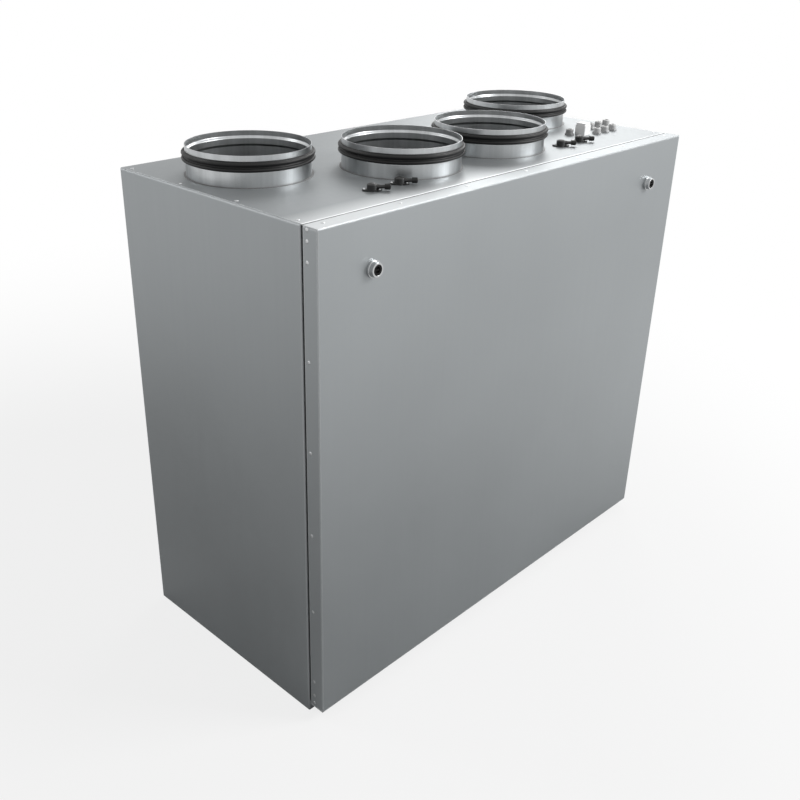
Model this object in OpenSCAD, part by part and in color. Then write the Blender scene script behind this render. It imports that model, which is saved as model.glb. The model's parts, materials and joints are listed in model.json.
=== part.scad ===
// Air handling unit: insulated sheet metal casing with a lift-off front panel
// and four swaged duct spigots on top. Millimetres, +Z up, front faces -Y.

/* [Casing] */
// length over the two side panels
length = 1194; // [1120:1:1500]
// depth of the casing behind the front panel
casing_depth = 545; // [515:1:800]
// height from the floor to the top sheet
height = 1066; // [800:1:1400]
// thickness of the insulated sides, back and top
wall = 30; // [25:1:32]
// thickness of the insulated base
base_wall = 40; // [30:1:60]
// thickness of the casing sheet
sheet = 1; // [0.8:0.1:2]
// outside radius of the upright back bends
back_bend = 4; // [2:0.5:8]
// outside radius of the upright front bends
front_bend = 3; // [1:0.5:6]
// outside radius of the side panels' top bends
top_bend = 2.5; // [1:0.5:6]
// outside radius of the side panels' foot bends
foot_bend = 1.5; // [1:0.5:4]
// set-back of the top sheet from the side faces
top_step = 3; // [1:0.5:8]
// overhang of the top sheet past the casing front
top_overhang = 4.5; // [3.5:0.5:6.5]
// diameter of the rolled hem on the top sheet's front edge
hem_d = 3; // [2:0.5:3.5]

/* [Front panel] */
// gap between casing and front panel, filled by the gasket
door_gap = 7; // [5:0.5:12]
// depth of the folded front panel
door_depth = 36; // [25:1:60]
// height of the front panel's lower edge above the floor
door_lift = 22; // [5:1:26]
// outside radius of the front panel's folds
door_bend = 2; // [1.5:0.5:6]
// width of the open seams at the front panel's corners
door_seam = 0.8; // [0.4:0.1:2]
// width of the gasket strips
gasket_width = 12; // [8:1:30]
// set-back of the gasket from the panel edges
gasket_inset = 4; // [4:1:12]

/* [Locks] */
// distance of a lock from the side of the panel
lock_side = 130; // [60:1:300]
// distance of the locks below the top of the panel
lock_drop = 96; // [50:1:300]
// diameter of the lock's foot ring
lock_foot_d = 33; // [30:1:60]
// height of the lock's foot ring
lock_foot_h = 5; // [2:0.5:6]
// diameter of the lock's barrel at its rim
lock_rim_d = 27; // [25:1:29]
// height of the lock above the panel
lock_height = 13; // [11:1:25]
// diameter of the black insert
lock_insert_d = 20; // [15:1:22]
// depth of the insert's face below the barrel's rim
lock_recess = 0.8; // [0.4:0.1:2]
// diameter of the key socket in the insert
key_socket_d = 12; // [8:1:14]
// depth of the key socket
key_socket = 3.5; // [2:0.5:5]
// width of the double-bit bar in the key socket
key_bar = 3; // [2:0.5:5]
// length of the double-bit bar
key_bar_length = 9.6; // [5:0.2:10]
// diameter of the shank through the panel
lock_shank_d = 22; // [12:1:26]

/* [Duct spigots] */
// outside diameter of a collar, for 250 mm duct
collar_d = 248; // [198:1:260]
// height of a collar above the top sheet
collar_height = 60; // [50:1:100]
// thickness of the collar sheet
collar_sheet = 1; // [0.6:0.1:2]
// plain band between the rim and the swage
collar_rim = 11; // [6:1:25]
// height of the swage that holds the seal
swage_height = 20; // [17:1:30]
// depth of the swage
swage_depth = 4; // [2:0.5:6]
// width of the turned-out foot below the top sheet
collar_foot = 8; // [5:0.5:10]
// ring gap between a collar and its hole in the top sheet
collar_gap = 4; // [2:0.5:4.5]
// distance of the rear collars' outsides from the casing sides
rear_edge = 41; // [40:1:80]
// distance of the rear collars behind the casing front
rear_row = 337; // [320:1:360]
// space between the two front collars
front_space = 41; // [30:1:80]
// shift of the front collars from the middle
front_shift = -13; // [-20:1:20]
// distance of the front collars behind the casing front
front_row = 182; // [180:1:200]

/* [Duct seals] */
// radius of a seal lip
lip_r = 3.2; // [2:0.1:3.5]
// distance of the lip centres outside the collar
lip_reach = 3.8; // [3.2:0.1:6]
// distance of the lip centres from the swage's edges
lip_inset = 4.8; // [3.2:0.1:6.5]
// rise of the foot seal above the top sheet
foot_seal_rise = 0.8; // [0:0.1:3]

/* [Pressure taps] */
// distance of the left pair's inner tap outside the front left collar's edge
left_tap_offset = -6; // [-10:1:40]
// distance of the right pair's inner tap outside the front right collar's edge
right_tap_offset = 8; // [-10:1:30]
// distance between the two taps of a pair
tap_pitch = 75; // [60:1:90]
// distance of the taps behind the casing front
tap_row = 76; // [60:1:90]
// turn of the taps towards the right front corner
tap_turn = 45; // [0:1:90]
// length of a tap's base
tap_base = 38; // [30:1:44]
// width of a tap's base
tap_width = 16; // [14:1:20]
// thickness of a tap's base
tap_thick = 3; // [2:0.5:5]
// diameter of the domed body
tap_body_d = 20; // [14:1:24]
// height of the body's shoulder
tap_shoulder = 12; // [9:0.5:16]
// height of the body's crown
tap_crown = 15.5; // [13:0.5:20]
// height of the nozzle's axis
tap_axis = 8; // [6.5:0.5:10]
// diameter of the nozzle
tap_nozzle_d = 7; // [4:0.5:8]
// length of the nozzle from the body's middle
tap_nozzle = 32; // [28:1:40]
// diameter of the cone between body and nozzle
tap_cone_d = 13; // [9:0.5:15]
// end of the cone, from the body's middle
tap_cone = 17; // [13:1:20]
// diameter of the end cap
tap_cap_d = 11; // [9:0.5:12]
// length of the end cap
tap_cap = 12; // [8:1:15]

/* [Cable glands] */
// distance of the single gland from the right side
single_gland_side = 205; // [190:1:220]
// distance of the single gland behind the casing front
single_gland_row = 139; // [130:1:160]
// distance of the front gland row behind the casing front
front_gland_row = 105; // [95:1:115]
// distance of the front row's first gland from the right side
front_gland_side = 138; // [125:1:142]
// distance of the rear gland row behind the casing front
rear_gland_row = 150; // [145:1:180]
// distance of the rear row's first gland from the right side
rear_gland_side = 96; // [94:1:130]
// distance between the glands of a row
gland_pitch = 35; // [30:1:36]
// width across the flats of a gland's foot
gland_af = 19; // [15:1:22]
// height of a gland's foot
gland_foot = 4; // [3:0.5:6]
// diameter of a gland's clamping nut
gland_nut_d = 18; // [14:0.5:20]
// height of a gland
gland_height = 14; // [12:0.5:20]
// radius of the rounded top edge of a gland's nut
gland_round = 3; // [1:0.5:4]
// radius of a gland's cable entry
gland_bore_r = 4.5; // [2:0.5:5]

/* [Control socket] */
// distance of the socket from the right side
socket_side = 176; // [170:1:180]
// distance of the socket behind the casing front
socket_row = 121; // [110:1:125]
// width of the socket
socket_width = 28; // [20:1:32]
// height of the socket
socket_height = 28; // [18:1:40]
// radius of the socket's upright edges
socket_round = 3; // [1:0.5:6]
// set-back of the socket's lid
socket_lid_step = 1.5; // [0.5:0.5:4]
// height of the socket's lid
socket_lid = 5; // [2:0.5:10]

/* [Fits] */
// clearance round a piece that passes through a hole
fit_gap = 0.2; // [0.1:0.05:0.3]

/* [Hidden] */
$fn = 96;
half_length = length / 2;
half_depth = casing_depth / 2;
casing_front = -half_depth;
inner_half = half_length - wall;
back_inner = half_depth - wall;
side_top = height - sheet;
liner_bottom = side_top - wall;
door_back = casing_front - door_gap;
door_front = door_back - door_depth;
door_height = height - door_lift;
lock_x = half_length - lock_side;
lock_z = height - lock_drop;
collar_r = collar_d / 2;
swage_top = collar_height - collar_rim;
swage_bottom = swage_top - swage_height;
swage_slope = 45;
bend_shift = collar_sheet * tan(swage_slope / 2);
rear_y = casing_front + rear_row;
front_y = casing_front + front_row;
rear_x = half_length - rear_edge - collar_r;
rear_left_at = [-rear_x, rear_y];
rear_right_at = [rear_x, rear_y];
front_half = collar_r + front_space / 2;
front_left_at = [front_shift - front_half, front_y];
front_right_at = [front_shift + front_half, front_y];
spigots_at = [rear_left_at, front_left_at, front_right_at, rear_right_at];
tap_y = casing_front + tap_row;
left_tap_x = front_left_at[0] - collar_r - left_tap_offset;
right_tap_x = front_right_at[0] + collar_r + right_tap_offset;
tap_cap_wall = (tap_cap_d - tap_nozzle_d) / 2 - fit_gap;
hex_ratio = 1 / cos(30);
galvanised = [0.62, 0.64, 0.66];
liner_grey = [0.5, 0.52, 0.54];
bright_zinc = [0.72, 0.73, 0.75];
rubber_black = [0.07, 0.07, 0.075];
chrome_bright = [0.82, 0.83, 0.85];
plastic_black = [0.1, 0.1, 0.1];
plastic_grey = [0.74, 0.74, 0.72];
plastic_white = [0.9, 0.9, 0.88];

// rectangle whose far side has a corner of its own radius at each end
module round_far_side(across, along, near_radius, far_radius) {
  deeper = max(near_radius, far_radius);
  square([across - deeper, along]);
  translate([0, near_radius])
    square([across, along - near_radius - far_radius]);
  translate([0, along - far_radius])
    square([across - far_radius, far_radius]);
  square([across - near_radius, near_radius]);
  translate([across - far_radius, along - far_radius])
    circle(far_radius);
  translate([across - near_radius, near_radius])
    circle(near_radius);
}

// rectangle along Y with both corners at its start rounded
module two_round_corners(across, along, radius) {
  translate([radius, 0])
    square([across - 2 * radius, along]);
  translate([0, radius])
    square([across, along - radius]);
  for (x = [radius, across - radius])
    translate([x, radius])
      circle(radius);
}

// side wall with bends up its front and back edges and along its top and foot
module side_wall() {
  intersection() {
    translate([inner_half, casing_front, 0])
      linear_extrude(side_top)
        round_far_side(wall, casing_depth, front_bend, back_bend);
    translate([inner_half, half_depth, 0])
      rotate([90, 0, 0])
        linear_extrude(casing_depth)
          round_far_side(wall, side_top, foot_bend, top_bend);
  }
}

module left_side_panel() {
  color(galvanised)
    mirror([1, 0, 0])
      side_wall();
}

module right_side_panel() {
  color(galvanised)
    side_wall();
}

module back_panel() {
  color(galvanised)
    translate([-inner_half, back_inner, 0])
      cube([2 * inner_half, wall, side_top]);
}

module base_panel() {
  color(galvanised)
    translate([-inner_half, casing_front, 0])
      cube([2 * inner_half, casing_depth - wall, base_wall]);
}

module top_sheet() {
  sheet_half = half_length - top_step;
  hem_y = casing_front - top_overhang + hem_d / 2;
  color(galvanised)
    difference() {
      union() {
        translate([-sheet_half, hem_y, side_top])
          cube([2 * sheet_half, half_depth - hem_y, sheet]);
        translate([-sheet_half, hem_y, height - hem_d / 2])
          rotate([0, 90, 0])
            cylinder(d = hem_d, h = 2 * sheet_half);
      }
      for (at = spigots_at)
        translate([at[0], at[1], side_top - sheet])
          cylinder(r = collar_r + collar_gap, h = 3 * sheet);
    }
}

module top_liner() {
  color(liner_grey)
    difference() {
      translate([-inner_half, casing_front, liner_bottom])
        cube([2 * inner_half, casing_depth - wall, wall]);
      for (at = spigots_at)
        translate([at[0], at[1], 0]) {
          translate([0, 0, liner_bottom - sheet])
            cylinder(r = collar_r + fit_gap, h = wall + 2 * sheet);
          translate([0, 0, side_top - collar_sheet])
            cylinder(r = collar_r + collar_foot + fit_gap, h = 2 * collar_sheet);
        }
    }
}

// front panel's block, inset by the sheet thickness on the sides and front
module door_block(inset) {
  radius = door_bend - inset;
  span = length - 2 * inset;
  rise = door_height - 2 * inset;
  depth = door_depth - inset;
  intersection() {
    translate([-span / 2, door_front + inset, door_lift + inset])
      linear_extrude(rise)
        two_round_corners(span, depth, radius);
    translate([-span / 2, door_front + inset, door_lift + inset])
      rotate([90, 0, 90])
        linear_extrude(span)
          rotate([0, 0, -90])
            mirror([1, 0, 0])
              two_round_corners(rise, depth, radius);
  }
}

// clearance holes for the two lock shanks
module lock_holes() {
  for (x = [-lock_x, lock_x])
    translate([x, door_back + sheet, lock_z])
      rotate([90, 0, 0])
        cylinder(d = lock_shank_d + 2 * fit_gap, h = door_depth + 2 * sheet);
}

// open seams between the upright flanges and the level ones
module corner_seams() {
  seam_depth = door_depth - door_bend;
  for (x = [-half_length, half_length - sheet])
    for (z = [door_lift + sheet, height - sheet - door_seam])
      translate([x - door_seam, door_back - seam_depth, z])
        cube([sheet + 2 * door_seam, seam_depth + door_seam, door_seam]);
}

module door_skin() {
  color(galvanised)
    difference() {
      door_block(0);
      door_block(sheet);
      corner_seams();
      lock_holes();
    }
}

module door_liner() {
  color(liner_grey)
    difference() {
      door_block(sheet);
      lock_holes();
    }
}

// upright gasket strip on the right
module upright_gasket() {
  translate([half_length - gasket_inset - gasket_width, door_back, door_lift + gasket_inset])
    cube([gasket_width, door_gap, door_height - 2 * gasket_inset]);
}

// level gasket strip between the upright ones, with its lower edge at z
module level_gasket(z) {
  reach = half_length - gasket_inset - gasket_width;
  translate([-reach, door_back, z])
    cube([2 * reach, door_gap, gasket_width]);
}

module door_gasket_left() {
  color(rubber_black)
    mirror([1, 0, 0])
      upright_gasket();
}

module door_gasket_right() {
  color(rubber_black)
    upright_gasket();
}

module door_gasket_top() {
  color(rubber_black)
    level_gasket(height - gasket_inset - gasket_width);
}

module door_gasket_bottom() {
  color(rubber_black)
    level_gasket(door_lift + gasket_inset);
}

// lock housing: foot ring, tapered barrel and shank through the front panel
module lock_housing(x) {
  barrel_foot_r = (lock_foot_d + lock_rim_d) / 4;
  translate([x, door_front, lock_z])
    rotate([90, 0, 0])
      rotate_extrude()
        difference() {
          polygon([
            [0, -door_depth],
            [lock_shank_d / 2, -door_depth],
            [lock_shank_d / 2, 0],
            [lock_foot_d / 2, 0],
            [lock_foot_d / 2, lock_foot_h],
            [barrel_foot_r, lock_foot_h],
            [lock_rim_d / 2, lock_height],
            [0, lock_height]
          ]);
          translate([0, lock_foot_h])
            square([lock_insert_d / 2 + fit_gap, lock_height]);
        }
}

// black insert with a double-bit key socket
module lock_insert(x) {
  insert_height = lock_height - lock_foot_h - lock_recess;
  socket_floor = insert_height - key_socket;
  translate([x, door_front - lock_foot_h, lock_z])
    rotate([90, 0, 0]) {
      difference() {
        cylinder(d = lock_insert_d, h = insert_height);
        translate([0, 0, socket_floor])
          cylinder(d = key_socket_d, h = 2 * key_socket);
      }
      translate([-key_bar_length / 2, -key_bar / 2, 0])
        cube([key_bar_length, key_bar, insert_height - lock_recess]);
    }
}

module lock_housing_left() {
  color(chrome_bright)
    lock_housing(-lock_x);
}

module lock_housing_right() {
  color(chrome_bright)
    lock_housing(lock_x);
}

module lock_insert_left() {
  color(plastic_black)
    lock_insert(-lock_x);
}

module lock_insert_right() {
  color(plastic_black)
    lock_insert(lock_x);
}

// sheet collar: turned-out foot, swage for the seal and plain rim
module collar(at) {
  inner = collar_r - collar_sheet;
  neck = collar_r - swage_depth;
  foot_r = collar_r + collar_foot;
  foot_top = -sheet;
  foot_bottom = foot_top - collar_sheet;
  tube_end = liner_bottom - height;
  translate([at[0], at[1], height])
    rotate_extrude()
      polygon([
        [inner, tube_end],
        [collar_r, tube_end],
        [collar_r, foot_bottom],
        [foot_r, foot_bottom],
        [foot_r, foot_top],
        [collar_r, foot_top],
        [collar_r, swage_bottom],
        [neck, swage_bottom + swage_depth],
        [neck, swage_top - swage_depth],
        [collar_r, swage_top],
        [collar_r, collar_height],
        [inner, collar_height],
        [inner, swage_top + bend_shift],
        [neck - collar_sheet, swage_top - swage_depth + bend_shift],
        [neck - collar_sheet, swage_bottom + swage_depth - bend_shift],
        [inner, swage_bottom - bend_shift]
      ]);
}

// double lip seal that fills the swage
module lip_seal(at) {
  neck = collar_r - swage_depth;
  low_lip = swage_bottom + lip_inset;
  high_lip = swage_top - lip_inset;
  translate([at[0], at[1], height])
    rotate_extrude() {
      polygon([
        [neck, swage_bottom + swage_depth],
        [collar_r, swage_bottom],
        [collar_r + lip_reach, low_lip],
        [collar_r + lip_reach / 2, (low_lip + high_lip) / 2],
        [collar_r + lip_reach, high_lip],
        [collar_r, swage_top],
        [neck, swage_top - swage_depth]
      ]);
      for (z = [low_lip, high_lip])
        translate([collar_r + lip_reach, z])
          circle(lip_r, $fn = 24);
    }
}

module collar_rear_left() {
  color(bright_zinc)
    collar(rear_left_at);
}

module collar_front_left() {
  color(bright_zinc)
    collar(front_left_at);
}

module collar_front_right() {
  color(bright_zinc)
    collar(front_right_at);
}

module collar_rear_right() {
  color(bright_zinc)
    collar(rear_right_at);
}

module seal_rear_left() {
  color(rubber_black)
    lip_seal(rear_left_at);
}

module seal_front_left() {
  color(rubber_black)
    lip_seal(front_left_at);
}

module seal_front_right() {
  color(rubber_black)
    lip_seal(front_right_at);
}

module seal_rear_right() {
  color(rubber_black)
    lip_seal(rear_right_at);
}

module collar_foot_seals() {
  color(rubber_black)
    for (at = spigots_at)
      translate([at[0], at[1], side_top])
        rotate_extrude()
          translate([collar_r, 0])
            square([collar_gap, sheet + foot_seal_rise]);
}

// frame of one tap: base on the top sheet, nozzle along +X
module at_tap(x) {
  translate([x, tap_y, height])
    rotate([0, 0, -tap_turn])
      children();
}

// frame of a tap's nozzle: +Z runs out along its axis
module along_nozzle() {
  translate([0, 0, tap_axis])
    rotate([0, 90, 0])
      children();
}

// oval base, domed elbow body, cone and nozzle
module tap_body(x) {
  ear = (tap_base - tap_width) / 2;
  crown = tap_crown - tap_shoulder;
  body_r = tap_body_d / 2;
  crown_r = (body_r * body_r + crown * crown) / (2 * crown);
  at_tap(x) {
    translate([-ear, -tap_width / 2, 0])
      cube([2 * ear, tap_width, tap_thick]);
    for (end = [-ear, ear])
      translate([end, 0, 0])
        cylinder(d = tap_width, h = tap_thick);
    intersection() {
      cylinder(r = body_r, h = tap_crown + crown);
      translate([0, 0, tap_crown - crown_r])
        sphere(crown_r);
    }
    along_nozzle() {
      cylinder(d1 = tap_cone_d, d2 = tap_nozzle_d, h = tap_cone);
      cylinder(d = tap_nozzle_d, h = tap_nozzle);
    }
  }
}

// blind cap pushed over the nozzle's end
module tap_cap_piece(x) {
  crown = tap_cap_wall;
  cap_r = tap_cap_d / 2;
  crown_r = (cap_r * cap_r + crown * crown) / (2 * crown);
  mouth = tap_nozzle + 2 * tap_cap_wall - tap_cap;
  at_tap(x)
    along_nozzle()
      difference() {
        intersection() {
          translate([0, 0, mouth])
            cylinder(r = cap_r, h = tap_cap);
          translate([0, 0, mouth + tap_cap - crown_r])
            sphere(crown_r);
        }
        translate([0, 0, mouth - fit_gap])
          cylinder(d = tap_nozzle_d + 2 * fit_gap, h = tap_nozzle - mouth + fit_gap);
      }
}

module pressure_tap_1() {
  color(plastic_black)
    tap_body(left_tap_x - tap_pitch);
}

module pressure_tap_2() {
  color(plastic_black)
    tap_body(left_tap_x);
}

module pressure_tap_3() {
  color(plastic_black)
    tap_body(right_tap_x);
}

module pressure_tap_4() {
  color(plastic_black)
    tap_body(right_tap_x + tap_pitch);
}

module tap_cap_1() {
  color(rubber_black)
    tap_cap_piece(left_tap_x - tap_pitch);
}

module tap_cap_2() {
  color(rubber_black)
    tap_cap_piece(left_tap_x);
}

module tap_cap_3() {
  color(rubber_black)
    tap_cap_piece(right_tap_x);
}

module tap_cap_4() {
  color(rubber_black)
    tap_cap_piece(right_tap_x + tap_pitch);
}

// hexagon foot and round clamping nut, with the cable entry
module gland(side, row) {
  nut_r = gland_nut_d / 2;
  translate([half_length - side, casing_front + row, height])
    difference() {
      union() {
        cylinder(d = gland_af * hex_ratio, h = gland_foot, $fn = 6);
        rotate_extrude() {
          square([nut_r - gland_round, gland_height]);
          square([nut_r, gland_height - gland_round]);
          translate([nut_r - gland_round, gland_height - gland_round])
            circle(gland_round);
        }
      }
      translate([0, 0, gland_foot / 2])
        cylinder(r = gland_bore_r, h = gland_height);
    }
}

// square with four rounded corners about its middle
module round_square(width, radius) {
  side = width - 2 * radius;
  square([width, side], center = true);
  square([side, width], center = true);
  for (x = [-side / 2, side / 2])
    for (y = [-side / 2, side / 2])
      translate([x, y])
        circle(radius);
}

module control_socket() {
  body_height = socket_height - socket_lid;
  color(plastic_white)
    translate([half_length - socket_side, casing_front + socket_row, height]) {
      linear_extrude(body_height)
        round_square(socket_width, socket_round);
      translate([0, 0, body_height])
        linear_extrude(socket_lid)
          round_square(socket_width - 2 * socket_lid_step, socket_round);
    }
}

module single_gland() {
  color(plastic_grey)
    gland(single_gland_side, single_gland_row);
}

module front_gland_1() {
  color(plastic_grey)
    gland(front_gland_side, front_gland_row);
}

module front_gland_2() {
  color(plastic_grey)
    gland(front_gland_side - gland_pitch, front_gland_row);
}

module front_gland_3() {
  color(plastic_grey)
    gland(front_gland_side - 2 * gland_pitch, front_gland_row);
}

module rear_gland_1() {
  color(plastic_grey)
    gland(rear_gland_side, rear_gland_row);
}

module rear_gland_2() {
  color(plastic_grey)
    gland(rear_gland_side - gland_pitch, rear_gland_row);
}

module rear_gland_3() {
  color(plastic_grey)
    gland(rear_gland_side - 2 * gland_pitch, rear_gland_row);
}

left_side_panel();
right_side_panel();
back_panel();
base_panel();
top_sheet();
top_liner();
door_skin();
door_liner();
door_gasket_left();
door_gasket_right();
door_gasket_top();
door_gasket_bottom();
lock_housing_left();
lock_housing_right();
lock_insert_left();
lock_insert_right();
collar_rear_left();
collar_front_left();
collar_front_right();
collar_rear_right();
seal_rear_left();
seal_front_left();
seal_front_right();
seal_rear_right();
collar_foot_seals();
pressure_tap_1();
pressure_tap_2();
pressure_tap_3();
pressure_tap_4();
tap_cap_1();
tap_cap_2();
tap_cap_3();
tap_cap_4();
control_socket();
single_gland();
front_gland_1();
front_gland_2();
front_gland_3();
rear_gland_1();
rear_gland_2();
rear_gland_3();
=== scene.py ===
"""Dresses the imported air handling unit: sheet finishes, rivets, screws, seams, studio and camera."""
import json
import math

import bpy
import numpy as np
from mathutils import Matrix, Vector


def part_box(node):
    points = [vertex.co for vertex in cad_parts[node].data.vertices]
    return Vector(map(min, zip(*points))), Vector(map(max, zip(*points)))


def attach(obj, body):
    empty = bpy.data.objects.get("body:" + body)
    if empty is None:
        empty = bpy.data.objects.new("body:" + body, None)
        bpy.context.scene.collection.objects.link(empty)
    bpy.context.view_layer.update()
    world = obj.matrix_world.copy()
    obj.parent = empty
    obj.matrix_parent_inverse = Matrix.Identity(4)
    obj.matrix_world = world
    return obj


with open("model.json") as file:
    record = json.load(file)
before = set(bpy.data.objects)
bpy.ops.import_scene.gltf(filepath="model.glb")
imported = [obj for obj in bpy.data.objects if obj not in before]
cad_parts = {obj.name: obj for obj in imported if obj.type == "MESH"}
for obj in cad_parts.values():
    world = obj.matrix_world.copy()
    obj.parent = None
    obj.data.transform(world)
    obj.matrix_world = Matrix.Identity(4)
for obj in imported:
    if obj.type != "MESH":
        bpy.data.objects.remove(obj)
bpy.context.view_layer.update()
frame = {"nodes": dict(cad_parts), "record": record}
nodes = frame["nodes"]
TOP_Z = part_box("top_sheet")[1].z

MM = 0.001

# lap seam of each collar: its angle round the collar in degrees, its strip and its weld spots
SEAM_ANGLE = {"rear_left": 93, "front_left": 7, "front_right": 93, "rear_right": 93}
SEAM_HALF_WIDTH = 5.5 * MM
SEAM_RISE = 0.6 * MM
SEAM_SINK = 0.3 * MM
SEAM_ROWS = 160
SEAM_COLUMNS = 25
SEAM_SPOTS = (12 * MM, 39 * MM, 55 * MM)
SPOT_R = 2.2 * MM
SPOT_RISE = 0.7 * MM

# inner profile of a collar above the top sheet: tube, swage and rim
COLLAR_PROFILE_Z = np.array([2, 28.6, 32.6, 45.4, 49.4, 59.4]) * MM
COLLAR_PROFILE_R = np.array([123, 123, 119, 119, 123, 123]) * MM

# bends of the swage, for the collar's shading: height of each bend's foot and the upright part it adds
SWAGE_BEND_RISE = 1.6 * MM
SWAGE_BENDS = ((28.0 * MM, 0.707), (32.0 * MM, -0.707), (44.4 * MM, -0.707), (48.4 * MM, 0.707))

# collar sheet: fineness of its streaks and shades, and the upright part past which a face counts as flat
WALL_STREAKS = 30.0
WALL_SHADES = 5.0
FLAT_FACE = 0.9

# front edge of the top sheet: painted shade on the roll, a burnished shoulder with painted highlight behind
# it
# width, share and grey of the painted shade on the roll
ROLL_SHADE_WIDTH = 2 * MM
ROLL_SHADE_SHARE = 0.75
ROLL_SHADE_GREY = 0.03
# burnished shoulder with painted highlight: its reach, blend, share and forward lean
FOLD_REACH = 6 * MM
FOLD_BLEND = 0.8 * MM
FOLD_SHARE = 0.9
FOLD_LEAN = (0, -0.4, 0)
# strip of painted light behind the roll: its depth, share at the front and fade along X
STRIP_DEPTH = 60 * MM
STRIP_SHARE = 0.55
STRIP_FADE = (-0.25, 0.1)

# painted light on the top flange of the front panel, which fades along X
FLANGE_SHARE = 0.6
FLANGE_FADE = (-0.6, 0.0)

# bands of a noise: where most of it lies, and where dust breaks up
NOISE_BAND = (0.3, 0.7)
DUST_BAND = (0.35, 0.75)

# sheet metal: pull of the rolling streaks, shares of bloom, fleck and edge wear with painted highlight,
# gloss, dust and grain
ROLLING_DRAW = (1.0, 1.0, 0.02)
BLOOM_SHARE = 0.75
FLECK_SHARE = 0.25
EDGE_SHARE = 0.6
CLOUD_GLOSS = 0.02
SHEET_DUST = (0.45, 0.44, 0.42, 1)
SHEET_DUST_ROUGH = 0.25
SHEET_BUMP = 0.15

# mouldings: rubbed edges, dust and the pits' bump
MOULDED_EDGE = 0.8 * MM
MOULDED_EDGE_GAIN = 1.0
MOULDED_DUST = (0.4, 0.39, 0.37, 1)
MOULDED_DUST_PATCHES = 40.0
MOULDED_DUST_ROUGH = 0.3
MOULDED_BUMP = 0.3

# rivet heads: dome, mandrel pit from its rim to its middle, and the flatter heads of the side flanges
RIVET_R = 3.7 * MM
RIVET_RISE = 1.1 * MM
FLAT_RIVET_SHARE = 0.15
MANDREL_R = 0.9 * MM
PIT_SHARES = (0.9, 0.4)
PIT_DEPTHS = (0.3 * MM, 0.45 * MM, 0.45 * MM)
RIVET_RINGS = 9
RIVET_SIDES = 20
POLE_R = 0.001 * MM
HEAD_SINK = 0.25 * MM

# rivet lines of the front panel, from its front face, its ends and its sides
DOOR_FLANGE_LINE = 26 * MM
DOOR_TOP_LINE = 23 * MM
DOOR_SIDE_ENDS = (68 * MM, 63 * MM)
DOOR_SIDE_STEPS = 6
DOOR_LOW_RIVETS = (11 * MM, 31 * MM)
DOOR_HIGH_RIVETS = (6 * MM, 26 * MM)
DOOR_TOP_END = 33 * MM
DOOR_TOP_STEPS = 7

# rivet lines of the top sheet, from its sides and from the front of the side panels
TOP_EDGE_LINE = 11 * MM
TOP_EDGE_ROWS = (21 * MM, 186 * MM, 354 * MM, 521 * MM)

# cross-head screws: the cross is in shares of the head's radius
SCREW_R = 3.2 * MM
SCREW_RISE = 2.0 * MM
SCREW_SIDES = 64
SCREW_RINGS = 18
SCREW_POLE = 1e-4
DOME_POWER = 3.2
DOME_ROOT = 0.45
CROSS_HALF_LENGTH = 0.62
CROSS_HALF_WIDTH = 0.17
CROSS_END_SLOPE = 8
CROSS_SIDE_SLOPE = 12
CROSS_DEPTH = 1.1 * MM

# pressure taps: foot under the screws, and the turn of the two screws, which grows from tap to tap
TAP_NUMBERS = (1, 2, 3, 4)
TAP_TURN = math.radians(-45)
TAP_EAR = 14.5 * MM
TAP_FOOT_R = 8 * MM
TAP_FOOT_HALF = 19 * MM
TAP_FOOT_THICK = 3 * MM
SCREW_TURNS = (0.3, 1.1)
SCREW_TURN_STEP = 0.37

# lamps: name, place, aim, size in metres and watts
LAMPS = (("key", (2.6, -3.2, 3.4), (0, 0, 0.5), (2.0, 2.0), 228),
         ("rim", (2.75, 1.45, 2.8), (0.2, -0.1, 1.07), (1.5, 1.5), 35),
         ("left", (-3.2, 1.5, 1.7), (-0.6, 0, 0.9), (1.5, 1.0), 4),
         ("back left", (-2.0, 3.0, 3.6), (0, 0, 1.0), (1.0, 1.0), 25))
WORLD_LIGHT = 0.42
WHITE = (1, 1, 1, 1)

# floor: grey of painted shade round one place under the unit, and backdrop white further out
FLOOR_HALF = 30.0
FLOOR_ROUGH = 0.9
FLOOR_NEAR_WHITE = 0.8
FLOOR_NEAR_GREY = 0.5
FLOOR_FAR_GREY = 0.85
FLOOR_SHADE_AT = (-0.5, 0.2, 0)
FLOOR_FADE = (1.0, 3.2)

# camera, fitted to the straight edges of the casing; sensor and lens in millimetres
CAMERA_AT = (-1.60246, -1.42635, 1.50798)
CAMERA_RIGHT = (0.69655, -0.71728, 0.01823)
CAMERA_UP = (0.30038, 0.31458, 0.90046)
CAMERA_FORWARD = (0.65161, 0.62174, -0.43457)
CAMERA_SENSOR = 36
CAMERA_LENS = 42.69
CAMERA_SHIFT = (0.0228, -0.0175)


# meshes

def mesh_piece(name, points, quads, material):
    """Puts an array of points and an array of quads into one smooth object that rides on the casing."""
    mesh = bpy.data.meshes.new(name)
    mesh.vertices.add(len(points))
    mesh.vertices.foreach_set("co", np.ascontiguousarray(points, np.float32).ravel())
    mesh.loops.add(quads.size)
    mesh.loops.foreach_set("vertex_index", np.ascontiguousarray(quads, np.int32).ravel())
    mesh.polygons.add(len(quads))
    mesh.polygons.foreach_set("loop_start", np.arange(0, quads.size, 4, dtype=np.int32))
    mesh.polygons.foreach_set("use_smooth", np.ones(len(quads), bool))
    mesh.update(calc_edges=True)
    mesh.validate()
    mesh.materials.append(material)
    piece = bpy.data.objects.new(name, mesh)
    bpy.context.scene.collection.objects.link(piece)
    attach(piece, "root")


def grid_quads(rows, columns):
    """Quads of a grid whose columns close on themselves: (i, j), (i, j+1), (i+1, j+1), (i+1, j)."""
    i, j = np.meshgrid(np.arange(rows - 1), np.arange(columns), indexing="ij")
    near, far = j, (j + 1) % columns
    quads = np.stack([i * columns + near, i * columns + far,
                      (i + 1) * columns + far, (i + 1) * columns + near], axis=-1)
    return quads.reshape(-1, 4)


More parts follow.
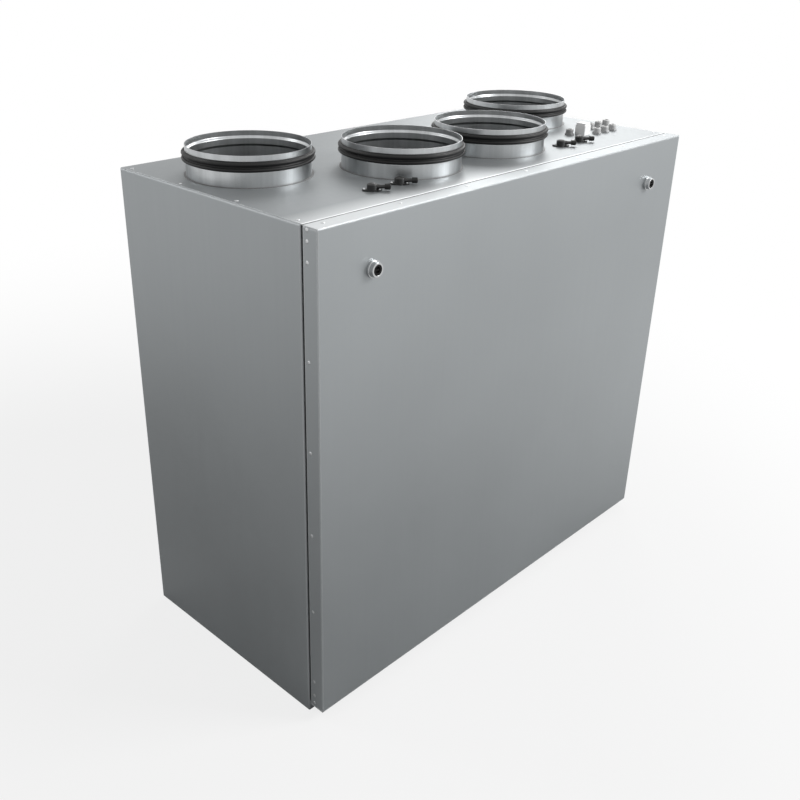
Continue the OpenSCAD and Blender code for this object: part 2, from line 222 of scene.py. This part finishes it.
def outward(points, quads):
    """The quads, turned over if the volume they enclose comes out negative."""
    a, b, c, d = (points[quads[:, k]] for k in range(4))
    volume = (np.cross(a, b) * c).sum() + (np.cross(a, c) * d).sum()
    return quads if volume > 0 else quads[:, ::-1]


def copies(shape, quads, places, frames):
    """Places one shape many times: each copy is place + frame times point, and its quads are shifted."""
    points = np.einsum("kab,nb->kna", frames, shape) + places[:, None, :]
    shift = np.arange(len(places))[:, None, None] * len(shape)
    return points.reshape(-1, 3), (quads[None] + shift).reshape(-1, 4)


def facing(direction, count):
    """The same frame for every copy, with its third axis along direction."""
    out = np.array(direction, float)
    side = np.array([0.0, 1.0, 0.0]) if abs(out[1]) < 0.5 else np.array([1.0, 0.0, 0.0])
    across = np.cross(side, out)
    return np.repeat(np.stack([across, np.cross(out, across), out], axis=1)[None], count, axis=0)


def turned_head(radii, heights, sides):
    """Surface of revolution: ring k has radius radii[k] and height heights[k] at every angle."""
    angle = np.linspace(0, 2 * math.pi, sides, endpoint=False)
    x = radii[:, None] * np.cos(angle)
    y = radii[:, None] * np.sin(angle)
    z = np.repeat(heights[:, None], sides, axis=1)
    return np.stack([x, y, z], axis=-1).reshape(-1, 3), grid_quads(len(radii), sides)


def rivet_head():
    """Blind rivet: a quarter-ellipse dome from rim to mandrel, then a small dished pit. A flat foot, sunk
    into the sheet, closes it below."""
    t = np.linspace(0, 1, RIVET_RINGS)
    dome_r = RIVET_R * np.cos(t * 0.5 * math.pi) + MANDREL_R * t
    dome_z = RIVET_RISE * np.sin(t * 0.5 * math.pi)
    radii = np.concatenate([[POLE_R, RIVET_R], dome_r, MANDREL_R * np.array(PIT_SHARES), [POLE_R]])
    heights = np.concatenate([[-HEAD_SINK, -HEAD_SINK], dome_z, RIVET_RISE - np.array(PIT_DEPTHS)])
    return turned_head(radii, heights, RIVET_SIDES)


def cross_bar(along, across):
    """One bar of a cross recess: 1 within its half length and half width, and 0 past its ends and sides."""
    length = np.clip((CROSS_HALF_LENGTH - abs(along)) * CROSS_END_SLOPE, 0, 1)
    width = np.clip((CROSS_HALF_WIDTH - abs(across)) * CROSS_SIDE_SLOPE, 0, 1)
    return length * width


def screw_head():
    """Pan head: height is a superellipse of the radius, less a cross where either of its bars covers it."""
    angle = np.linspace(0, 2 * math.pi, SCREW_SIDES, endpoint=False)
    share = np.concatenate([[SCREW_POLE, 1.0], np.linspace(1, SCREW_POLE, SCREW_RINGS)])
    x = share[:, None] * np.cos(angle)
    y = share[:, None] * np.sin(angle)
    dome = SCREW_RISE * (1 - share ** DOME_POWER)[:, None] ** DOME_ROOT
    z = dome - CROSS_DEPTH * np.maximum(cross_bar(x, y), cross_bar(y, x))
    z[:2] = -HEAD_SINK
    points = np.stack([x * SCREW_R, y * SCREW_R, z], axis=-1).reshape(-1, 3)
    return points, grid_quads(len(share), SCREW_SIDES)


def add_rivets(name, places, direction, material, height_share=1.0):
    """One mesh of rivet heads at the places, all facing one way, with every height times height_share."""
    places = np.array(places, float)
    shape, quads = rivet_head()
    shape = shape * np.array([1.0, 1.0, height_share])
    points, faces = copies(shape, quads, places, facing(direction, len(places)))
    mesh_piece(name, points, faces, material)


def middle(name):
    """Middle of a node's box, seen from above."""
    low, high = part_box(name)
    return (0.5 * (low.x + high.x), 0.5 * (low.y + high.y))


# shader helpers

def grey(value, blue=0.0):
    """A grey, made a little cooler by its share of blue."""
    return (value * (1 - blue), value, value * (1 + 0.5 * blue), 1.0)


def place(tree, kind, inputs=None, **settings):
    """Adds a node with its settings; each input is linked if it is a socket and set if it is a value."""
    made = tree.nodes.new(kind)
    for key, value in settings.items():
        setattr(made, key, value)
    for key, value in (inputs or {}).items():
        if isinstance(value, bpy.types.NodeSocket):
            tree.links.new(value, made.inputs[key])
        else:
            made.inputs[key].default_value = value
    return made


def math_node(tree, operation, first, second=0.0, clamp=False):
    """One sum, product or the like of two values."""
    made = place(tree, "ShaderNodeMath", {0: first, 1: second}, operation=operation, use_clamp=clamp)
    return made.outputs[0]


def vector_node(tree, operation, first, second=(0, 0, 0)):
    """One vector made of one or two vectors."""
    return place(tree, "ShaderNodeVectorMath", {0: first, 1: second}, operation=operation).outputs[0]


def dot_product(tree, first, second):
    """Dot product of two vectors."""
    made = place(tree, "ShaderNodeVectorMath", {0: first, 1: second}, operation="DOT_PRODUCT")
    return made.outputs["Value"]


def scaled(tree, vector, factor):
    """A vector times a value."""
    return place(tree, "ShaderNodeVectorMath", {0: vector, "Scale": factor}, operation="SCALE").outputs[0]


def spread(tree, value, low, high, to_low, to_high):
    """Carries a value from one range to another and holds it at the ends."""
    made = place(tree, "ShaderNodeMapRange", {"Value": value, "From Min": low, "From Max": high,
                                              "To Min": to_low, "To Max": to_high})
    return made.outputs[0]


def banded(tree, value, to_low, to_high):
    """Carries the middle band of a noise, where most of it lies, to another range."""
    return spread(tree, value, *NOISE_BAND, to_low, to_high)


def mix_colour(tree, factor, first, second):
    """A colour between two, by the sockets that the mix node has for colours."""
    return place(tree, "ShaderNodeMix", {0: factor, 6: first, 7: second}, data_type="RGBA").outputs[2]


def mix_vector(tree, factor, first, second):
    """A vector between two, by the sockets that the mix node has for vectors."""
    return place(tree, "ShaderNodeMix", {0: factor, 4: first, 5: second}, data_type="VECTOR").outputs[1]


def noise(tree, where, scale, detail, roughness=0.5):
    """Cloudy value over the given coordinates."""
    made = place(tree, "ShaderNodeTexNoise", {"Vector": where, "Scale": scale, "Detail": detail,
                                              "Roughness": roughness})
    return made.outputs[0]


def object_place(tree):
    """Place on the object, in metres."""
    return place(tree, "ShaderNodeTexCoord").outputs["Object"]


def true_normal(tree):
    """Normal of the surface as it is shaded before any bump."""
    return place(tree, "ShaderNodeNewGeometry").outputs["Normal"]


def parts_of(tree, vector):
    """The three parts of a vector, by name."""
    return place(tree, "ShaderNodeSeparateXYZ", {0: vector}).outputs


def looks_up(tree):
    """Upward part of the normal, and nothing where it points down."""
    return math_node(tree, "MAXIMUM", parts_of(tree, true_normal(tree))["Z"], 0.0)


# effects that several finishes share

def new_group(name, inputs, outputs, vectors=()):
    """An empty node group with named values in, and named values and vectors out."""
    group = bpy.data.node_groups.new(name, "ShaderNodeTree")
    for label, value in inputs.items():
        socket = group.interface.new_socket(label, in_out="INPUT", socket_type="NodeSocketFloat")
        socket.default_value = value
    for label in outputs:
        group.interface.new_socket(label, in_out="OUTPUT", socket_type="NodeSocketFloat")
    for label in vectors:
        group.interface.new_socket(label, in_out="OUTPUT", socket_type="NodeSocketVector")
    return group, place(group, "NodeGroupInput").outputs, place(group, "NodeGroupOutput").inputs


def use_group(tree, group, **values):
    """Places a group with its own values; an underscore stands for the space in a socket's name."""
    made = place(tree, "ShaderNodeGroup", node_tree=group)
    for key, value in values.items():
        made.inputs[key.replace("_", " ")].default_value = value
    return made.outputs


def rolled_zinc_group():
    """Cloudy bloom, rolling streaks and fine grain of coated sheet, all in metres of the object."""
    scales = {"Cloud Scale": 3.0, "Streak Scale": 60.0, "Grain Scale": 900.0}
    group, given, out = new_group("rolled zinc", scales, ("Cloud", "Streak", "Grain"))
    where = object_place(group)
    drawn = place(group, "ShaderNodeMapping", {"Vector": where, "Scale": ROLLING_DRAW}).outputs[0]
    group.links.new(noise(group, where, given["Cloud Scale"], detail=3.0), out["Cloud"])
    group.links.new(noise(group, drawn, given["Streak Scale"], detail=4.0, roughness=0.6), out["Streak"])
    group.links.new(noise(group, where, given["Grain Scale"], detail=2.0, roughness=0.6), out["Grain"])
    return group


def swage_slope(group, height):
    """Upright part of the wall's normal: it grows in step with the height through each bend of the swage,
    holds on the slope and falls again."""
    slope = 0.0
    for low, gain in SWAGE_BENDS:
        bend = spread(group, height, low, low + SWAGE_BEND_RISE, 0.0, gain)
        slope = math_node(group, "ADD", bend, slope)
    return slope


def round_wall_group():
    """Round sheet wall about an upright axis: streaks that run up it, and its true normal. The normal's level
    part points along the arm from the axis, and its upright part follows the swage. Faces that lie flat keep
    their own normal."""
    axis_at = {"Centre X": 0.0, "Centre Y": 0.0, "Foot Z": 0.0}
    group, given, out = new_group("round wall", axis_at, ("Streak", "Shade"), ("Normal",))
    where = object_place(group)
    axis = place(group, "ShaderNodeCombineXYZ", {0: given["Centre X"], 1: given["Centre Y"]}).outputs[0]
    level = vector_node(group, "MULTIPLY", vector_node(group, "SUBTRACT", where, axis), (1, 1, 0))
    arm = vector_node(group, "NORMALIZE", level)
    group.links.new(noise(group, arm, WALL_STREAKS, detail=3.0, roughness=0.6), out["Streak"])
    group.links.new(noise(group, arm, WALL_SHADES, detail=3.0, roughness=0.6), out["Shade"])

    own = true_normal(group)
    side = math_node(group, "SIGN", dot_product(group, own, arm))
    height = math_node(group, "SUBTRACT", parts_of(group, where)["Z"], given["Foot Z"])
    slope = swage_slope(group, height)
    level_part = math_node(group, "SUBTRACT", 1.0, math_node(group, "POWER", slope, 2.0))
    level_part = math_node(group, "SQRT", level_part)
    upright = place(group, "ShaderNodeCombineXYZ", {2: slope}).outputs[0]
    wall = vector_node(group, "ADD", scaled(group, arm, level_part), upright)
    wall = scaled(group, wall, side)
    flat = math_node(group, "ABSOLUTE", parts_of(group, own)["Z"])
    flat = math_node(group, "GREATER_THAN", flat, FLAT_FACE)
    group.links.new(mix_vector(group, flat, wall, own), out["Normal"])
    return group


def edge_wear_and_highlight_group():
    """Rounded normal of an edge, and a mask that rises there: one less its dot with the true normal. The mask
    marks edge wear and painted highlight.
    """
    group, given, out = new_group("worn edge", {"Reach": 3 * MM, "Gain": 3.0}, ("Mask",), ("Normal",))
    rounded = place(group, "ShaderNodeBevel", {"Radius": given["Reach"]}, samples=4).outputs[0]
    alike = dot_product(group, rounded, true_normal(group))
    turned = math_node(group, "SUBTRACT", 1.0, alike, clamp=True)
    group.links.new(math_node(group, "MULTIPLY", turned, given["Gain"], clamp=True), out["Mask"])
    group.links.new(rounded, out["Normal"])
    return group


def settled_dust_group():
    """Dust on faces that look up: the upward part of the normal times a broken cloud."""
    group, given, out = new_group("settled dust", {"Patch Scale": 9.0, "Amount": 0.3}, ("Mask",))
    patch = noise(group, object_place(group), given["Patch Scale"], detail=5.0, roughness=0.65)
    broken = spread(group, patch, *DUST_BAND, 0.0, 1.0)
    lying = math_node(group, "MULTIPLY", looks_up(group), broken)
    group.links.new(math_node(group, "MULTIPLY", lying, given["Amount"], clamp=True), out["Mask"])
    return group


def moulded_skin_group():
    """Fine pitted grain and soft shade of a moulded surface."""
    scales = {"Pit Scale": 1800.0, "Shade Scale": 60.0}
    group, given, out = new_group("moulded skin", scales, ("Pits", "Shade"))
    where = object_place(group)
    pits = place(group, "ShaderNodeTexVoronoi", {"Vector": where, "Scale": given["Pit Scale"]},
                 feature="SMOOTH_F1")
    group.links.new(pits.outputs["Distance"], out["Pits"])
    group.links.new(noise(group, where, given["Shade Scale"], detail=4.0), out["Shade"])
    return group


zinc_group = rolled_zinc_group()
edge_group = edge_wear_and_highlight_group()
dust_group = settled_dust_group()
skin_group = moulded_skin_group()
wall_group = round_wall_group()


# sheet metal and mouldings

def new_material(name, metallic=0.0):
    """A material with its node tree and its main shader."""
    material = bpy.data.materials.new(name)
    material.use_nodes = True
    tree = material.node_tree
    shader = tree.nodes["Principled BSDF"]
    shader.inputs["Metallic"].default_value = metallic
    return material, tree, shader


def bump(tree, shader, height, strength, distance, normal):
    """Fine relief on top of a normal."""
    made = place(tree, "ShaderNodeBump", {"Height": height, "Strength": strength, "Distance": distance,
                                          "Normal": normal})
    tree.links.new(made.outputs[0], shader.inputs["Normal"])


def flange_painted_light(tree, wear_and_painted_light):
    """Wear with painted light added on the top flange: as far as a face looks up, and less towards the right.
    """
    fade = spread(tree, parts_of(tree, object_place(tree))["X"], *FLANGE_FADE, FLANGE_SHARE, 0.0)
    return math_node(tree, "MAXIMUM", wear_and_painted_light, math_node(tree, "MULTIPLY", looks_up(tree), fade))


def rolled_front(tree, fold_y, wear_and_painted_light, normal):
    """Wear and painted light, normal and painted shade of a sheet whose front edge is rolled on the line
    fold_y.
    Painted shade lies on the roll, the shoulder behind it is burnished with painted highlight and leans to
    the front, and a strip of painted light fades to the back and the right."""
    column, row, _ = parts_of(tree, object_place(tree))
    shoulder = fold_y + ROLL_SHADE_WIDTH
    fold_end = fold_y + FOLD_REACH
    roll_shade = spread(tree, row, shoulder - FOLD_BLEND, shoulder, ROLL_SHADE_SHARE, 0.0)
    fold = math_node(tree, "MULTIPLY", spread(tree, row, shoulder - FOLD_BLEND, shoulder, 0.0, 1.0),
                     spread(tree, row, fold_end - FOLD_BLEND, fold_end, 1.0, 0.0))
    strip = math_node(tree, "MULTIPLY", spread(tree, row, fold_y, fold_y + STRIP_DEPTH, STRIP_SHARE, 0.0),
                      spread(tree, column, *STRIP_FADE, 1.0, 0.0))
    wear_and_painted_light = math_node(tree, "MAXIMUM", math_node(tree, "MAXIMUM", wear_and_painted_light, strip),
                     math_node(tree, "MULTIPLY", fold, FOLD_SHARE))
    leant = vector_node(tree, "ADD", normal, scaled(tree, FOLD_LEAN, fold))
    return wear_and_painted_light, vector_node(tree, "NORMALIZE", leant), roll_shade


def sheet_metal(name, dark, light, bright, rough, cloud_scale, grain_depth, dust, reach=3 * MM, centre=None,
                fold_y=None, rubbed=False):
    """Zinc-coated sheet: bloom between two greys, brighter rounded edges of wear and painted highlight,
    streaks in the gloss and a little dust. With a centre the streaks run up a round wall about it and tint it
    too. With a fold_y the sheet has a rolled front edge on that line, with painted shade, painted highlight
    and painted light.
    With rubbed set, the sheet takes painted light where it looks up, most at the left."""
    material, tree, shader = new_material(name, metallic=1.0)
    zinc = use_group(tree, zinc_group, Cloud_Scale=cloud_scale)
    edge = use_group(tree, edge_group, Reach=reach)
    dusty = use_group(tree, dust_group, Amount=dust)["Mask"]
    streak, shade, relief, normal = zinc["Streak"], zinc["Cloud"], zinc["Grain"], edge["Normal"]
    if centre:
        wall = use_group(tree, wall_group, Centre_X=centre[0], Centre_Y=centre[1], Foot_Z=TOP_Z)
        streak, shade, relief, normal = wall["Streak"], wall["Shade"], wall["Streak"], wall["Normal"]
    # edge wear with painted highlight; the painted light of a rubbed or rolled sheet joins it below
    wear_and_painted_light = math_node(tree, "MULTIPLY", edge["Mask"], EDGE_SHARE)
    # painted light on the upward faces
    if rubbed:
        wear_and_painted_light = flange_painted_light(tree, wear_and_painted_light)
    if fold_y is not None:
        wear_and_painted_light, normal, roll_shade = rolled_front(tree, fold_y, wear_and_painted_light, normal)

    bloom = banded(tree, shade, 0.0, BLOOM_SHARE)
    fleck = banded(tree, zinc["Grain"], 0.0, FLECK_SHARE)
    colour = mix_colour(tree, math_node(tree, "ADD", bloom, fleck), dark, light)
    colour = mix_colour(tree, wear_and_painted_light, colour, bright)
    # painted shade along the roll
    if fold_y is not None:
        colour = mix_colour(tree, roll_shade, colour, grey(ROLL_SHADE_GREY))
    colour = mix_colour(tree, dusty, colour, SHEET_DUST)
    tree.links.new(colour, shader.inputs["Base Color"])

    gloss = banded(tree, streak, *rough)
    gloss = math_node(tree, "ADD", gloss, banded(tree, zinc["Cloud"], -CLOUD_GLOSS, CLOUD_GLOSS))
    gloss = math_node(tree, "ADD", gloss, math_node(tree, "MULTIPLY", dusty, SHEET_DUST_ROUGH))
    tree.links.new(gloss, shader.inputs["Roughness"])
    bump(tree, shader, relief, SHEET_BUMP, grain_depth, normal)
    return material


def moulded(name, dark, light, rough, pit_depth, dust, shine=0.5):
    """Moulded plastic or rubber: shade between two tones, pitted grain, paler rubbed edges and dust."""
    material, tree, shader = new_material(name)
    shader.inputs["Specular IOR Level"].default_value = shine
    skin = use_group(tree, skin_group)
    edge = use_group(tree, edge_group, Reach=MOULDED_EDGE, Gain=MOULDED_EDGE_GAIN)
    dusty = use_group(tree, dust_group, Amount=dust, Patch_Scale=MOULDED_DUST_PATCHES)["Mask"]
    colour = mix_colour(tree, banded(tree, skin["Shade"], 0.0, 1.0), dark, light)
    colour = mix_colour(tree, edge["Mask"], colour, light)
    colour = mix_colour(tree, dusty, colour, MOULDED_DUST)
    tree.links.new(colour, shader.inputs["Base Color"])
    gloss = banded(tree, skin["Shade"], *rough)
    gloss = math_node(tree, "ADD", gloss, math_node(tree, "MULTIPLY", dusty, MOULDED_DUST_ROUGH))
    tree.links.new(gloss, shader.inputs["Roughness"])
    bump(tree, shader, skin["Pits"], MOULDED_BUMP, pit_depth, edge["Normal"])
    return material


# finishes: the casing, whose top sheet takes a darker copy of the zinc, painted shade
ZINC = dict(dark=grey(0.32, 0.05), light=grey(0.355, 0.05), bright=grey(0.72, 0.02), rough=(0.49, 0.52),
            cloud_scale=1.6, grain_depth=0.01 * MM, dust=0.03, reach=4.5 * MM)
TOP_ZINC = dict(ZINC, dark=grey(0.27, 0.05), light=grey(0.305, 0.05))
galvanised = sheet_metal("galvanised sheet", **ZINC)
folded_top = sheet_metal("galvanised top sheet", **TOP_ZINC, fold_y=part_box("top_sheet")[0].y)
# front panel: painted light on its upward faces
lit_front_panel = sheet_metal("galvanised front panel", **ZINC, rubbed=True)
# the liner: a paler copy of the casing zinc, painted light that lifts the dim inside
liner = sheet_metal("liner sheet", dark=grey(0.40, 0.03), light=grey(0.46, 0.03), bright=grey(0.6, 0.02),
                    rough=(0.45, 0.55), cloud_scale=4.0, grain_depth=0.04 * MM, dust=0.10)

# finishes: collars, each about its own axis
COLLAR_ZINC = dict(dark=grey(0.36, 0.03), light=grey(0.56, 0.03), bright=grey(0.8, 0.01), rough=(0.32, 0.35),
                   cloud_scale=9.0, grain_depth=0.02 * MM, dust=0.02, reach=0.6 * MM)
collar_zinc = {spigot: sheet_metal("collar sheet " + spigot, **COLLAR_ZINC, centre=middle("collar_" + spigot))
               for spigot in SEAM_ANGLE}

# finishes: fasteners and locks
rivet_metal = sheet_metal("rivet metal", dark=grey(0.52, 0.02), light=grey(0.60, 0.02), bright=grey(0.75),
                          rough=(0.28, 0.36), cloud_scale=60.0, grain_depth=0.02 * MM, dust=0.02,
                          reach=0.4 * MM)
lock_chrome = sheet_metal("lock chrome", dark=grey(0.48, 0.02), light=grey(0.54, 0.02), bright=grey(0.62),
                          rough=(0.20, 0.23), cloud_scale=40.0, grain_depth=0.01 * MM, dust=0.01,
                          reach=1 * MM)
lock_black = moulded("lock black", dark=grey(0.003), light=grey(0.005), rough=(0.5, 0.6),
                     pit_depth=0.02 * MM, dust=0.0, shine=0.12)

# finishes: seals, taps, glands and socket
rubber = moulded("seal rubber", dark=grey(0.005), light=grey(0.008), rough=(0.45, 0.58),
                 pit_depth=0.04 * MM, dust=0.01, shine=0.3)
foot_rubber = moulded("foot seal rubber", dark=grey(0.15), light=grey(0.20), rough=(0.45, 0.55),
                      pit_depth=0.04 * MM, dust=0.05, shine=0.3)
black_plastic = moulded("black plastic", dark=grey(0.006), light=grey(0.010), rough=(0.33, 0.42),
                        pit_depth=0.03 * MM, dust=0.015)
white_plastic = moulded("white plastic", dark=grey(0.78), light=grey(0.86), rough=(0.35, 0.45),
                        pit_depth=0.02 * MM, dust=0.06)
grey_plastic = moulded("grey plastic", dark=grey(0.40), light=grey(0.47), rough=(0.4, 0.5),
                       pit_depth=0.03 * MM, dust=0.06)
# the single gland: a darker copy of the grey plastic, painted shade
shaded_gland_plastic = moulded("dark grey plastic", dark=grey(0.22), light=grey(0.28), rough=(0.4, 0.5),
                            pit_depth=0.03 * MM, dust=0.06)

# finish of each material slot, and of the nodes that have one of their own
FINISH = {"galvanised": galvanised, "liner": liner, "rubber": rubber, "chrome": lock_chrome,
          "black_plastic": black_plastic, "white_plastic": white_plastic, "grey_plastic": grey_plastic}
OWN_FINISH = {"top_sheet": folded_top, "door_skin": lit_front_panel, "collar_foot_seals": foot_rubber,
              "single_gland": shaded_gland_plastic,
              "lock_insert_left": lock_black, "lock_insert_right": lock_black}
OWN_FINISH.update(("collar_" + spigot, finish) for spigot, finish in collar_zinc.items())


def dress_nodes():
    """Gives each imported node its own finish, or that of its material slot in the record."""
    slots = {row["node"]: row["material_slot"] for row in frame["record"]["subparts"]}
    for name, node in nodes.items():
        node.data.materials.clear()
        node.data.materials.append(OWN_FINISH.get(name) or FINISH[slots[name]])


# rivets, screws and seams

def door_rivets():
    """Rivets of the front panel: an even row with a close pair at each end on the side flanges, where the
    heads are flatter, and an even row on the top and bottom flanges."""
    low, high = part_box("door_skin")
    along = np.linspace(low.z + DOOR_SIDE_ENDS[0], high.z - DOOR_SIDE_ENDS[1], DOOR_SIDE_STEPS)
    heights = np.concatenate([along, low.z + np.array(DOOR_LOW_RIVETS), high.z - np.array(DOOR_HIGH_RIVETS)])
    line = np.full(len(heights), low.y + DOOR_FLANGE_LINE)
    for side, x, out in (("left", low.x, -1), ("right", high.x, 1)):
        places = np.stack([np.full(len(heights), x), line, heights], axis=1)
        add_rivets("door_rivets_" + side, places, (out, 0, 0), rivet_metal, FLAT_RIVET_SHARE)
    across = np.linspace(low.x + DOOR_TOP_END, high.x - DOOR_TOP_END, DOOR_TOP_STEPS)
    row = np.full(len(across), low.y + DOOR_TOP_LINE)
    for side, z, out in (("top", high.z, 1), ("bottom", low.z, -1)):
        places = np.stack([across, row, np.full(len(across), z)], axis=1)
        add_rivets("door_rivets_" + side, places, (0, 0, out), rivet_metal)


def top_rivets():
    """Rivets of the top sheet: one row along each side."""
    low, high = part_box("top_sheet")
    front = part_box("left_side_panel")[0].y
    rows = front + np.array(TOP_EDGE_ROWS)
    for side, x in (("left", low.x + TOP_EDGE_LINE), ("right", high.x - TOP_EDGE_LINE)):
        places = np.stack([np.full(len(rows), x), rows, np.full(len(rows), high.z)], axis=1)
        add_rivets("top_rivets_" + side, places, (0, 0, 1), rivet_metal)


def tap_screws():
    """Two screws on each tap's foot, on the line of its nozzle, turned a little from one to the next."""
    shape, quads = screw_head()
    along = np.array([math.cos(TAP_TURN), math.sin(TAP_TURN), 0.0])
    for k in TAP_NUMBERS:
        low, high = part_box("pressure_tap_%d" % k)
        centre = np.array([low.x + TAP_FOOT_R, high.y - TAP_FOOT_R, low.z + TAP_FOOT_THICK])
        centre += along * (TAP_FOOT_HALF - TAP_FOOT_R)
        ends = centre + np.array([-TAP_EAR, TAP_EAR])[:, None] * along
        turn = np.array(SCREW_TURNS) + SCREW_TURN_STEP * k
        frames = np.zeros((2, 3, 3))
        frames[:, 0, 0], frames[:, 0, 1] = np.cos(turn), -np.sin(turn)
        frames[:, 1, 0], frames[:, 1, 1] = np.sin(turn), np.cos(turn)
        frames[:, 2, 2] = 1
        points, faces = copies(shape, quads, ends, frames)
        mesh_piece("tap_screws_%d" % k, points, faces, rivet_metal)


def collar_seams():
    """Lap strip inside each collar: across it u and along the inner profile v, raised by SEAM_RISE with soft
    round spots, closed at the back and the ends."""
    v = np.linspace(COLLAR_PROFILE_Z[0], COLLAR_PROFILE_Z[-1], SEAM_ROWS)
    wall = np.interp(v, COLLAR_PROFILE_Z, COLLAR_PROFILE_R)
    u = np.concatenate([np.linspace(-1, 1, SEAM_COLUMNS), [1, -1]]) * SEAM_HALF_WIDTH
    front = np.concatenate([[0], np.ones(SEAM_COLUMNS - 2), [0, 0, 0]])
    above_spot = v[None, :, None] - np.array(SEAM_SPOTS)[:, None, None]
    apart = np.hypot(u[None, None] / SPOT_R, above_spot / SPOT_R)
    spots = SPOT_RISE * np.exp(-apart ** 4).sum(axis=0)
    rise = front * (SEAM_RISE + spots) - SEAM_SINK * (1 - front)
    radius = wall[:, None] - rise
    radius[[0, -1]] = (wall - SEAM_SINK)[[0, -1], None]
    across = np.repeat(u[None], len(v), axis=0)
    across[[0, -1]] = 0
    height = np.repeat((TOP_Z + v)[:, None], len(u), axis=1)
    quads = grid_quads(len(v), len(u))
    for spigot, degrees in SEAM_ANGLE.items():
        x, y = middle("collar_" + spigot)
        angle = math.radians(degrees) + across / wall[:, None]
        points = np.stack([x + radius * np.cos(angle), y + radius * np.sin(angle), height], axis=-1)
        points = points.reshape(-1, 3)
        mesh_piece("collar_seam_" + spigot, points, outward(points, quads), collar_zinc[spigot])


# studio

def backdrop_rays(tree):
    """Two masks: rays of the camera, and rays of a reflection or a transmission."""
    path = place(tree, "ShaderNodeLightPath").outputs
    mirrored = math_node(tree, "MAXIMUM", path["Is Glossy Ray"], path["Is Transmission Ray"])
    return path["Is Camera Ray"], mirrored


def floor_white():
    """Pale floor that turns to backdrop white far from the unit, for the camera and in reflections. Near the
    unit reflections meet its lit side, whose grey there is painted shade."""
    material, tree, shader = new_material("floor white")
    shader.inputs["Roughness"].default_value = FLOOR_ROUGH
    shader.inputs["Specular IOR Level"].default_value = 0.0
    away = place(tree, "ShaderNodeVectorMath", {0: object_place(tree), 1: FLOOR_SHADE_AT},
                 operation="DISTANCE")
    far = place(tree, "ShaderNodeMapRange", {"Value": away.outputs["Value"], "From Min": FLOOR_FADE[0],
                                             "From Max": FLOOR_FADE[1]},
                interpolation_type="SMOOTHSTEP").outputs[0]
    colour = mix_colour(tree, far, grey(FLOOR_NEAR_GREY), grey(FLOOR_FAR_GREY))
    tree.links.new(colour, shader.inputs["Base Color"])
    seen, mirrored = backdrop_rays(tree)
    pale = spread(tree, far, 0.0, 1.0, FLOOR_NEAR_WHITE, 1.0)
    share = math_node(tree, "MAXIMUM", math_node(tree, "MULTIPLY", pale, seen),
                      math_node(tree, "MULTIPLY", far, mirrored))
    backdrop = place(tree, "ShaderNodeEmission", {"Color": WHITE, "Strength": 1.0})
    blend = place(tree, "ShaderNodeMixShader", {0: share, 1: shader.outputs[0], 2: backdrop.outputs[0]})
    tree.links.new(blend.outputs[0], tree.nodes["Material Output"].inputs["Surface"])
    return material


def studio_floor():
    """One wide square at the height of the unit's underside."""
    half = FLOOR_HALF
    corners = [(-half, -half, 0), (half, -half, 0), (half, half, 0), (-half, half, 0)]
    mesh = bpy.data.meshes.new("studio_floor")
    mesh.from_pydata(corners, [], [(0, 1, 2, 3)])
    mesh.materials.append(floor_white())
    floor = bpy.data.objects.new("studio_floor", mesh)
    bpy.context.scene.collection.objects.link(floor)


def studio_world():
    """Plain world: white for the camera and in reflections, and a softer light for everything else."""
    world = bpy.data.worlds.new("studio")
    bpy.context.scene.world = world
    world.use_nodes = True
    tree = world.node_tree
    back = tree.nodes["Background"]
    back.inputs["Color"].default_value = WHITE
    shown = math_node(tree, "MAXIMUM", *backdrop_rays(tree))
    tree.links.new(spread(tree, shown, 0.0, 1.0, WORLD_LIGHT, 1.0), back.inputs["Strength"])


def studio_lamps():
    """Soft lamps, each turned from its place to its aim."""
    for name, at, aim, size, watts in LAMPS:
        data = bpy.data.lights.new(name, "AREA")
        data.shape = "RECTANGLE"
        data.size, data.size_y = size
        data.energy = watts
        holder = bpy.data.objects.new(name, data)
        holder.location = at
        holder.rotation_euler = (Vector(aim) - Vector(at)).to_track_quat("-Z", "Y").to_euler()
        bpy.context.scene.collection.objects.link(holder)


def camera():
    """Camera at its fitted place, with its axes and lens. The shift moves the optical axis off the middle."""
    data = bpy.data.cameras.new("camera")
    data.sensor_width = CAMERA_SENSOR
    data.lens = CAMERA_LENS
    data.shift_x, data.shift_y = CAMERA_SHIFT
    holder = bpy.data.objects.new("camera", data)
    right, up, back = Vector(CAMERA_RIGHT), Vector(CAMERA_UP), -Vector(CAMERA_FORWARD)
    turn = Matrix((right, up, back)).transposed().to_4x4()
    holder.matrix_world = Matrix.Translation(CAMERA_AT) @ turn
    bpy.context.scene.collection.objects.link(holder)
    bpy.context.scene.camera = holder


dress_nodes()
door_rivets()
top_rivets()
tap_screws()
collar_seams()
studio_floor()
studio_world()
studio_lamps()
camera()
bpy.context.scene.view_settings.view_transform = "Standard"
